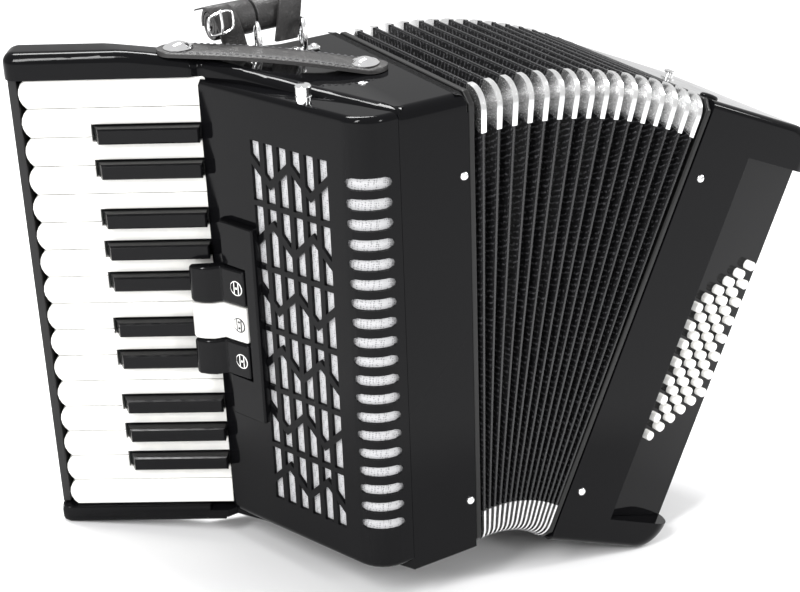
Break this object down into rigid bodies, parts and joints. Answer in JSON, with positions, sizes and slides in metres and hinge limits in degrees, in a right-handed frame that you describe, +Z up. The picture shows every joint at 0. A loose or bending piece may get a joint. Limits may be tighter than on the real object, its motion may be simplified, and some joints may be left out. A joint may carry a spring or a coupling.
{
  "type": "piano accordion",
  "caption": "Small piano accordion with black gloss cases, a fanned bellows, a keyboard of white and black keys, a slotted grille, register rockers and a board of bass buttons.",
  "frame": {"origin": "centre of the bounding box on the floor the accordion stands on", "axes": "+X from the treble side to the bass side, -Y out of the front (grille and keyboard) face, +Z up"},
  "size_m": [0.5384, 0.2204, 0.3914],
  "materials": {
    "black_celluloid": "high gloss black celluloid",
    "keyboard_wood": "black lacquered wood",
    "steel": "satin",
    "grille_cloth": "silver perforated cloth",
    "reed_block_wood": "waxed pale wood",
    "bellows_frame_wood": "black lacquered wood",
    "chrome": "polished",
    "black_leather": "black leather",
    "black_key_plastic": "gloss black",
    "white_key_plastic": "gloss white",
    "bellows_cloth": "embossed black cloth over card",
    "button_plastic": "gloss white"
  },
  "bodies": {
    "treble": {"treble_case": "black_celluloid", "keyboard_bed": "keyboard_wood", "key_axle": "steel", "grille_cover": "black_celluloid", "grille_cloth": "grille_cloth", "register_housing": "black_celluloid", "treble_reed_block": "reed_block_wood", "bellows_frame_treble": "bellows_frame_wood", "strap_bracket": "chrome", "shoulder_straps": "black_leather", "bellows_strap": "black_leather"},
    "register_1": {"register_switch_1": "black_key_plastic"},
    "register_2": {"register_switch_2": "white_key_plastic"},
    "register_3": {"register_switch_3": "black_key_plastic"},
    "white_01": {"white_key_01": "white_key_plastic"},
    "white_02": {"white_key_02": "white_key_plastic"},
    "white_03": {"white_key_03": "white_key_plastic"},
    "white_04": {"white_key_04": "white_key_plastic"},
    "white_05": {"white_key_05": "white_key_plastic"},
    "white_06": {"white_key_06": "white_key_plastic"},
    "white_07": {"white_key_07": "white_key_plastic"},
    "white_08": {"white_key_08": "white_key_plastic"},
    "white_09": {"white_key_09": "white_key_plastic"},
    "white_10": {"white_key_10": "white_key_plastic"},
    "white_11": {"white_key_11": "white_key_plastic"},
    "white_12": {"white_key_12": "white_key_plastic"},
    "white_13": {"white_key_13": "white_key_plastic"},
    "white_14": {"white_key_14": "white_key_plastic"},
    "white_15": {"white_key_15": "white_key_plastic"},
    "white_16": {"white_key_16": "white_key_plastic"},
    "black_01": {"black_key_01": "black_key_plastic"},
    "black_02": {"black_key_02": "black_key_plastic"},
    "black_03": {"black_key_03": "black_key_plastic"},
    "black_04": {"black_key_04": "black_key_plastic"},
    "black_05": {"black_key_05": "black_key_plastic"},
    "black_06": {"black_key_06": "black_key_plastic"},
    "black_07": {"black_key_07": "black_key_plastic"},
    "black_08": {"black_key_08": "black_key_plastic"},
    "black_09": {"black_key_09": "black_key_plastic"},
    "black_10": {"black_key_10": "black_key_plastic"},
    "bass": {"bellows_frame_bass": "bellows_frame_wood", "bass_case": "black_celluloid", "bass_button_board": "black_celluloid", "bass_reed_block": "reed_block_wood", "bass_strap": "black_leather"},
    "folds_1": {"bellows_folds_1": "bellows_cloth"},
    "folds_2": {"bellows_folds_2": "bellows_cloth"},
    "folds_3": {"bellows_folds_3": "bellows_cloth"},
    "folds_4": {"bellows_folds_4": "bellows_cloth"},
    "folds_5": {"bellows_folds_5": "bellows_cloth"},
    "folds_6": {"bellows_folds_6": "bellows_cloth"},
    "folds_7": {"bellows_folds_7": "bellows_cloth"},
    "folds_8": {"bellows_folds_8": "bellows_cloth"},
    "bass_row_1": {"bass_buttons_row_1": "button_plastic"},
    "bass_row_2": {"bass_buttons_row_2": "button_plastic"},
    "bass_row_3": {"bass_buttons_row_3": "button_plastic"},
    "bass_row_4": {"bass_buttons_row_4": "button_plastic"},
    "bass_row_5": {"bass_buttons_row_5": "button_plastic"},
    "bass_row_6": {"bass_buttons_row_6": "button_plastic"},
    "air": {"air_button": "button_plastic"}
  },
  "joints": [
    {"name": "register_rock_1", "type": "hinge", "parent": "treble", "child": "register_1", "pos_m": [-0.13769, -0.00109, 0.20855], "axis": [0.1485, 0, -0.9889], "range_deg": [0, 2.5]},
    {"name": "register_rock_2", "type": "hinge", "parent": "treble", "child": "register_2", "pos_m": [-0.13365, -0.00109, 0.18166], "axis": [0.1485, 0, -0.9889], "range_deg": [0, 2.5]},
    {"name": "register_rock_3", "type": "hinge", "parent": "treble", "child": "register_3", "pos_m": [-0.12961, -0.00109, 0.15476], "axis": [0.1485, 0, -0.9889], "range_deg": [0, 2.5]},
    {"name": "white_01_press", "type": "hinge", "parent": "treble", "child": "white_01", "pos_m": [-0.14121, 0.01763, 0.33847], "axis": [0.1485, 0, -0.9889], "range_deg": [0, 1.9], "stiffness_Nm_per_rad": 0.5, "springref_deg": -10.89},
    {"name": "white_02_press", "type": "hinge", "parent": "treble", "child": "white_02", "pos_m": [-0.13824, 0.01763, 0.31869], "axis": [0.1485, 0, -0.9889], "range_deg": [0, 1.9], "stiffness_Nm_per_rad": 0.5, "springref_deg": -10.89},
    {"name": "white_03_press", "type": "hinge", "parent": "treble", "child": "white_03", "pos_m": [-0.13527, 0.01763, 0.29892], "axis": [0.1485, 0, -0.9889], "range_deg": [0, 1.9], "stiffness_Nm_per_rad": 0.5, "springref_deg": -10.89},
    {"name": "white_04_press", "type": "hinge", "parent": "treble", "child": "white_04", "pos_m": [-0.1323, 0.01763, 0.27914], "axis": [0.1485, 0, -0.9889], "range_deg": [0, 1.9], "stiffness_Nm_per_rad": 0.5, "springref_deg": -10.89},
    {"name": "white_05_press", "type": "hinge", "parent": "treble", "child": "white_05", "pos_m": [-0.12933, 0.01763, 0.25936], "axis": [0.1485, 0, -0.9889], "range_deg": [0, 1.9], "stiffness_Nm_per_rad": 0.5, "springref_deg": -10.89},
    {"name": "white_06_press", "type": "hinge", "parent": "treble", "child": "white_06", "pos_m": [-0.12636, 0.01763, 0.23958], "axis": [0.1485, 0, -0.9889], "range_deg": [0, 1.9], "stiffness_Nm_per_rad": 0.5, "springref_deg": -10.89},
    {"name": "white_07_press", "type": "hinge", "parent": "treble", "child": "white_07", "pos_m": [-0.12339, 0.01763, 0.2198], "axis": [0.1485, 0, -0.9889], "range_deg": [0, 1.9], "stiffness_Nm_per_rad": 0.5, "springref_deg": -10.89},
    {"name": "white_08_press", "type": "hinge", "parent": "treble", "child": "white_08", "pos_m": [-0.12042, 0.01763, 0.20003], "axis": [0.1485, 0, -0.9889], "range_deg": [0, 1.9], "stiffness_Nm_per_rad": 0.5, "springref_deg": -10.89},
    {"name": "white_09_press", "type": "hinge", "parent": "treble", "child": "white_09", "pos_m": [-0.11745, 0.01763, 0.18025], "axis": [0.1485, 0, -0.9889], "range_deg": [0, 1.9], "stiffness_Nm_per_rad": 0.5, "springref_deg": -10.89},
    {"name": "white_10_press", "type": "hinge", "parent": "treble", "child": "white_10", "pos_m": [-0.11448, 0.01763, 0.16047], "axis": [0.1485, 0, -0.9889], "range_deg": [0, 1.9], "stiffness_Nm_per_rad": 0.5, "springref_deg": -10.89},
    {"name": "white_11_press", "type": "hinge", "parent": "treble", "child": "white_11", "pos_m": [-0.11151, 0.01763, 0.14069], "axis": [0.1485, 0, -0.9889], "range_deg": [0, 1.9], "stiffness_Nm_per_rad": 0.5, "springref_deg": -10.89},
    {"name": "white_12_press", "type": "hinge", "parent": "treble", "child": "white_12", "pos_m": [-0.10854, 0.01763, 0.12091], "axis": [0.1485, 0, -0.9889], "range_deg": [0, 1.9], "stiffness_Nm_per_rad": 0.5, "springref_deg": -10.89},
    {"name": "white_13_press", "type": "hinge", "parent": "treble", "child": "white_13", "pos_m": [-0.10557, 0.01763, 0.10113], "axis": [0.1485, 0, -0.9889], "range_deg": [0, 1.9], "stiffness_Nm_per_rad": 0.5, "springref_deg": -10.89},
    {"name": "white_14_press", "type": "hinge", "parent": "treble", "child": "white_14", "pos_m": [-0.1026, 0.01763, 0.08136], "axis": [0.1485, 0, -0.9889], "range_deg": [0, 1.9], "stiffness_Nm_per_rad": 0.5, "springref_deg": -10.89},
    {"name": "white_15_press", "type": "hinge", "parent": "treble", "child": "white_15", "pos_m": [-0.09963, 0.01763, 0.06158], "axis": [0.1485, 0, -0.9889], "range_deg": [0, 1.9], "stiffness_Nm_per_rad": 0.5, "springref_deg": -10.89},
    {"name": "white_16_press", "type": "hinge", "parent": "treble", "child": "white_16", "pos_m": [-0.09665, 0.01763, 0.0418], "axis": [0.1485, 0, -0.9889], "range_deg": [0, 1.9], "stiffness_Nm_per_rad": 0.5, "springref_deg": -10.89},
    {"name": "black_01_press", "type": "hinge", "parent": "treble", "child": "black_01", "pos_m": [-0.13714, 0.01763, 0.31138], "axis": [0.1485, 0, -0.9889], "range_deg": [0, 1.9], "stiffness_Nm_per_rad": 0.5, "springref_deg": -10.89},
    {"name": "black_02_press", "type": "hinge", "parent": "treble", "child": "black_02", "pos_m": [-0.13349, 0.01763, 0.28705], "axis": [0.1485, 0, -0.9889], "range_deg": [0, 1.9], "stiffness_Nm_per_rad": 0.5, "springref_deg": -10.89},
    {"name": "black_03_press", "type": "hinge", "parent": "treble", "child": "black_03", "pos_m": [-0.12829, 0.01763, 0.25244], "axis": [0.1485, 0, -0.9889], "range_deg": [0, 1.9], "stiffness_Nm_per_rad": 0.5, "springref_deg": -10.89},
    {"name": "black_04_press", "type": "hinge", "parent": "treble", "child": "black_04", "pos_m": [-0.12487, 0.01763, 0.22969], "axis": [0.1485, 0, -0.9889], "range_deg": [0, 1.9], "stiffness_Nm_per_rad": 0.5, "springref_deg": -10.89},
    {"name": "black_05_press", "type": "hinge", "parent": "treble", "child": "black_05", "pos_m": [-0.12146, 0.01763, 0.20695], "axis": [0.1485, 0, -0.9889], "range_deg": [0, 1.9], "stiffness_Nm_per_rad": 0.5, "springref_deg": -10.89},
    {"name": "black_06_press", "type": "hinge", "parent": "treble", "child": "black_06", "pos_m": [-0.11635, 0.01763, 0.17293], "axis": [0.1485, 0, -0.9889], "range_deg": [0, 1.9], "stiffness_Nm_per_rad": 0.5, "springref_deg": -10.89},
    {"name": "black_07_press", "type": "hinge", "parent": "treble", "child": "black_07", "pos_m": [-0.1127, 0.01763, 0.1486], "axis": [0.1485, 0, -0.9889], "range_deg": [0, 1.9], "stiffness_Nm_per_rad": 0.5, "springref_deg": -10.89},
    {"name": "black_08_press", "type": "hinge", "parent": "treble", "child": "black_08", "pos_m": [-0.1075, 0.01763, 0.11399], "axis": [0.1485, 0, -0.9889], "range_deg": [0, 1.9], "stiffness_Nm_per_rad": 0.5, "springref_deg": -10.89},
    {"name": "black_09_press", "type": "hinge", "parent": "treble", "child": "black_09", "pos_m": [-0.10408, 0.01763, 0.09125], "axis": [0.1485, 0, -0.9889], "range_deg": [0, 1.9], "stiffness_Nm_per_rad": 0.5, "springref_deg": -10.89},
    {"name": "black_10_press", "type": "hinge", "parent": "treble", "child": "black_10", "pos_m": [-0.10066, 0.01763, 0.0685], "axis": [0.1485, 0, -0.9889], "range_deg": [0, 1.9], "stiffness_Nm_per_rad": 0.5, "springref_deg": -10.89},
    {"name": "bellows_fan", "type": "hinge", "parent": "treble", "child": "bass", "pos_m": [0.02652, -0.02771, 0.03654], "axis": [0, 1, 0], "range_deg": [-24.3, 16]},
    {"name": "fold_1_turn", "type": "hinge", "parent": "treble", "child": "folds_1", "pos_m": [0.02652, -0.02771, 0.03654], "axis": [0, 1, 0], "range_deg": [-1.53, 1.01]},
    {"name": "fold_2_turn", "type": "hinge", "parent": "treble", "child": "folds_2", "pos_m": [0.02652, -0.02771, 0.03654], "axis": [0, 1, 0], "range_deg": [-4.57, 3.01]},
    {"name": "fold_3_turn", "type": "hinge", "parent": "treble", "child": "folds_3", "pos_m": [0.02652, -0.02771, 0.03654], "axis": [0, 1, 0], "range_deg": [-7.6, 5.01]},
    {"name": "fold_4_turn", "type": "hinge", "parent": "treble", "child": "folds_4", "pos_m": [0.02652, -0.02771, 0.03654], "axis": [0, 1, 0], "range_deg": [-10.64, 7.01]},
    {"name": "fold_5_turn", "type": "hinge", "parent": "treble", "child": "folds_5", "pos_m": [0.02652, -0.02771, 0.03654], "axis": [0, 1, 0], "range_deg": [-13.68, 9.01]},
    {"name": "fold_6_turn", "type": "hinge", "parent": "treble", "child": "folds_6", "pos_m": [0.02652, -0.02771, 0.03654], "axis": [0, 1, 0], "range_deg": [-16.72, 11.01]},
    {"name": "fold_7_turn", "type": "hinge", "parent": "treble", "child": "folds_7", "pos_m": [0.02652, -0.02771, 0.03654], "axis": [0, 1, 0], "range_deg": [-19.75, 13.01]},
    {"name": "fold_8_turn", "type": "hinge", "parent": "treble", "child": "folds_8", "pos_m": [0.02652, -0.02771, 0.03654], "axis": [0, 1, 0], "range_deg": [-22.79, 15.01]},
    {"name": "bass_row_1_press", "type": "slide", "parent": "bass", "child": "bass_row_1", "axis": [-0.1604, 0.986, 0.0456], "range_m": [0, 0.0035], "stiffness_N_per_m": 600, "springref_m": -0.003},
    {"name": "bass_row_2_press", "type": "slide", "parent": "bass", "child": "bass_row_2", "axis": [-0.1604, 0.986, 0.0456], "range_m": [0, 0.0035], "stiffness_N_per_m": 600, "springref_m": -0.003},
    {"name": "bass_row_3_press", "type": "slide", "parent": "bass", "child": "bass_row_3", "axis": [-0.1604, 0.986, 0.0456], "range_m": [0, 0.0035], "stiffness_N_per_m": 600, "springref_m": -0.003},
    {"name": "bass_row_4_press", "type": "slide", "parent": "bass", "child": "bass_row_4", "axis": [-0.1604, 0.986, 0.0456], "range_m": [0, 0.0035], "stiffness_N_per_m": 600, "springref_m": -0.003},
    {"name": "bass_row_5_press", "type": "slide", "parent": "bass", "child": "bass_row_5", "axis": [-0.1604, 0.986, 0.0456], "range_m": [0, 0.0035], "stiffness_N_per_m": 600, "springref_m": -0.003},
    {"name": "bass_row_6_press", "type": "slide", "parent": "bass", "child": "bass_row_6", "axis": [-0.1604, 0.986, 0.0456], "range_m": [0, 0.0035], "stiffness_N_per_m": 600, "springref_m": -0.003},
    {"name": "air_button_press", "type": "slide", "parent": "bass", "child": "air", "axis": [-0.9619, 0, 0.2733], "range_m": [0, 0.004], "stiffness_N_per_m": 600, "springref_m": -0.003}
  ],
  "couplings": [
    {"joint": "fold_1_turn", "follows": "bellows_fan", "ratio": 0.0625},
    {"joint": "fold_2_turn", "follows": "bellows_fan", "ratio": 0.1875},
    {"joint": "fold_3_turn", "follows": "bellows_fan", "ratio": 0.3125},
    {"joint": "fold_4_turn", "follows": "bellows_fan", "ratio": 0.4375},
    {"joint": "fold_5_turn", "follows": "bellows_fan", "ratio": 0.5625},
    {"joint": "fold_6_turn", "follows": "bellows_fan", "ratio": 0.6875},
    {"joint": "fold_7_turn", "follows": "bellows_fan", "ratio": 0.8125},
    {"joint": "fold_8_turn", "follows": "bellows_fan", "ratio": 0.9375}
  ]
}
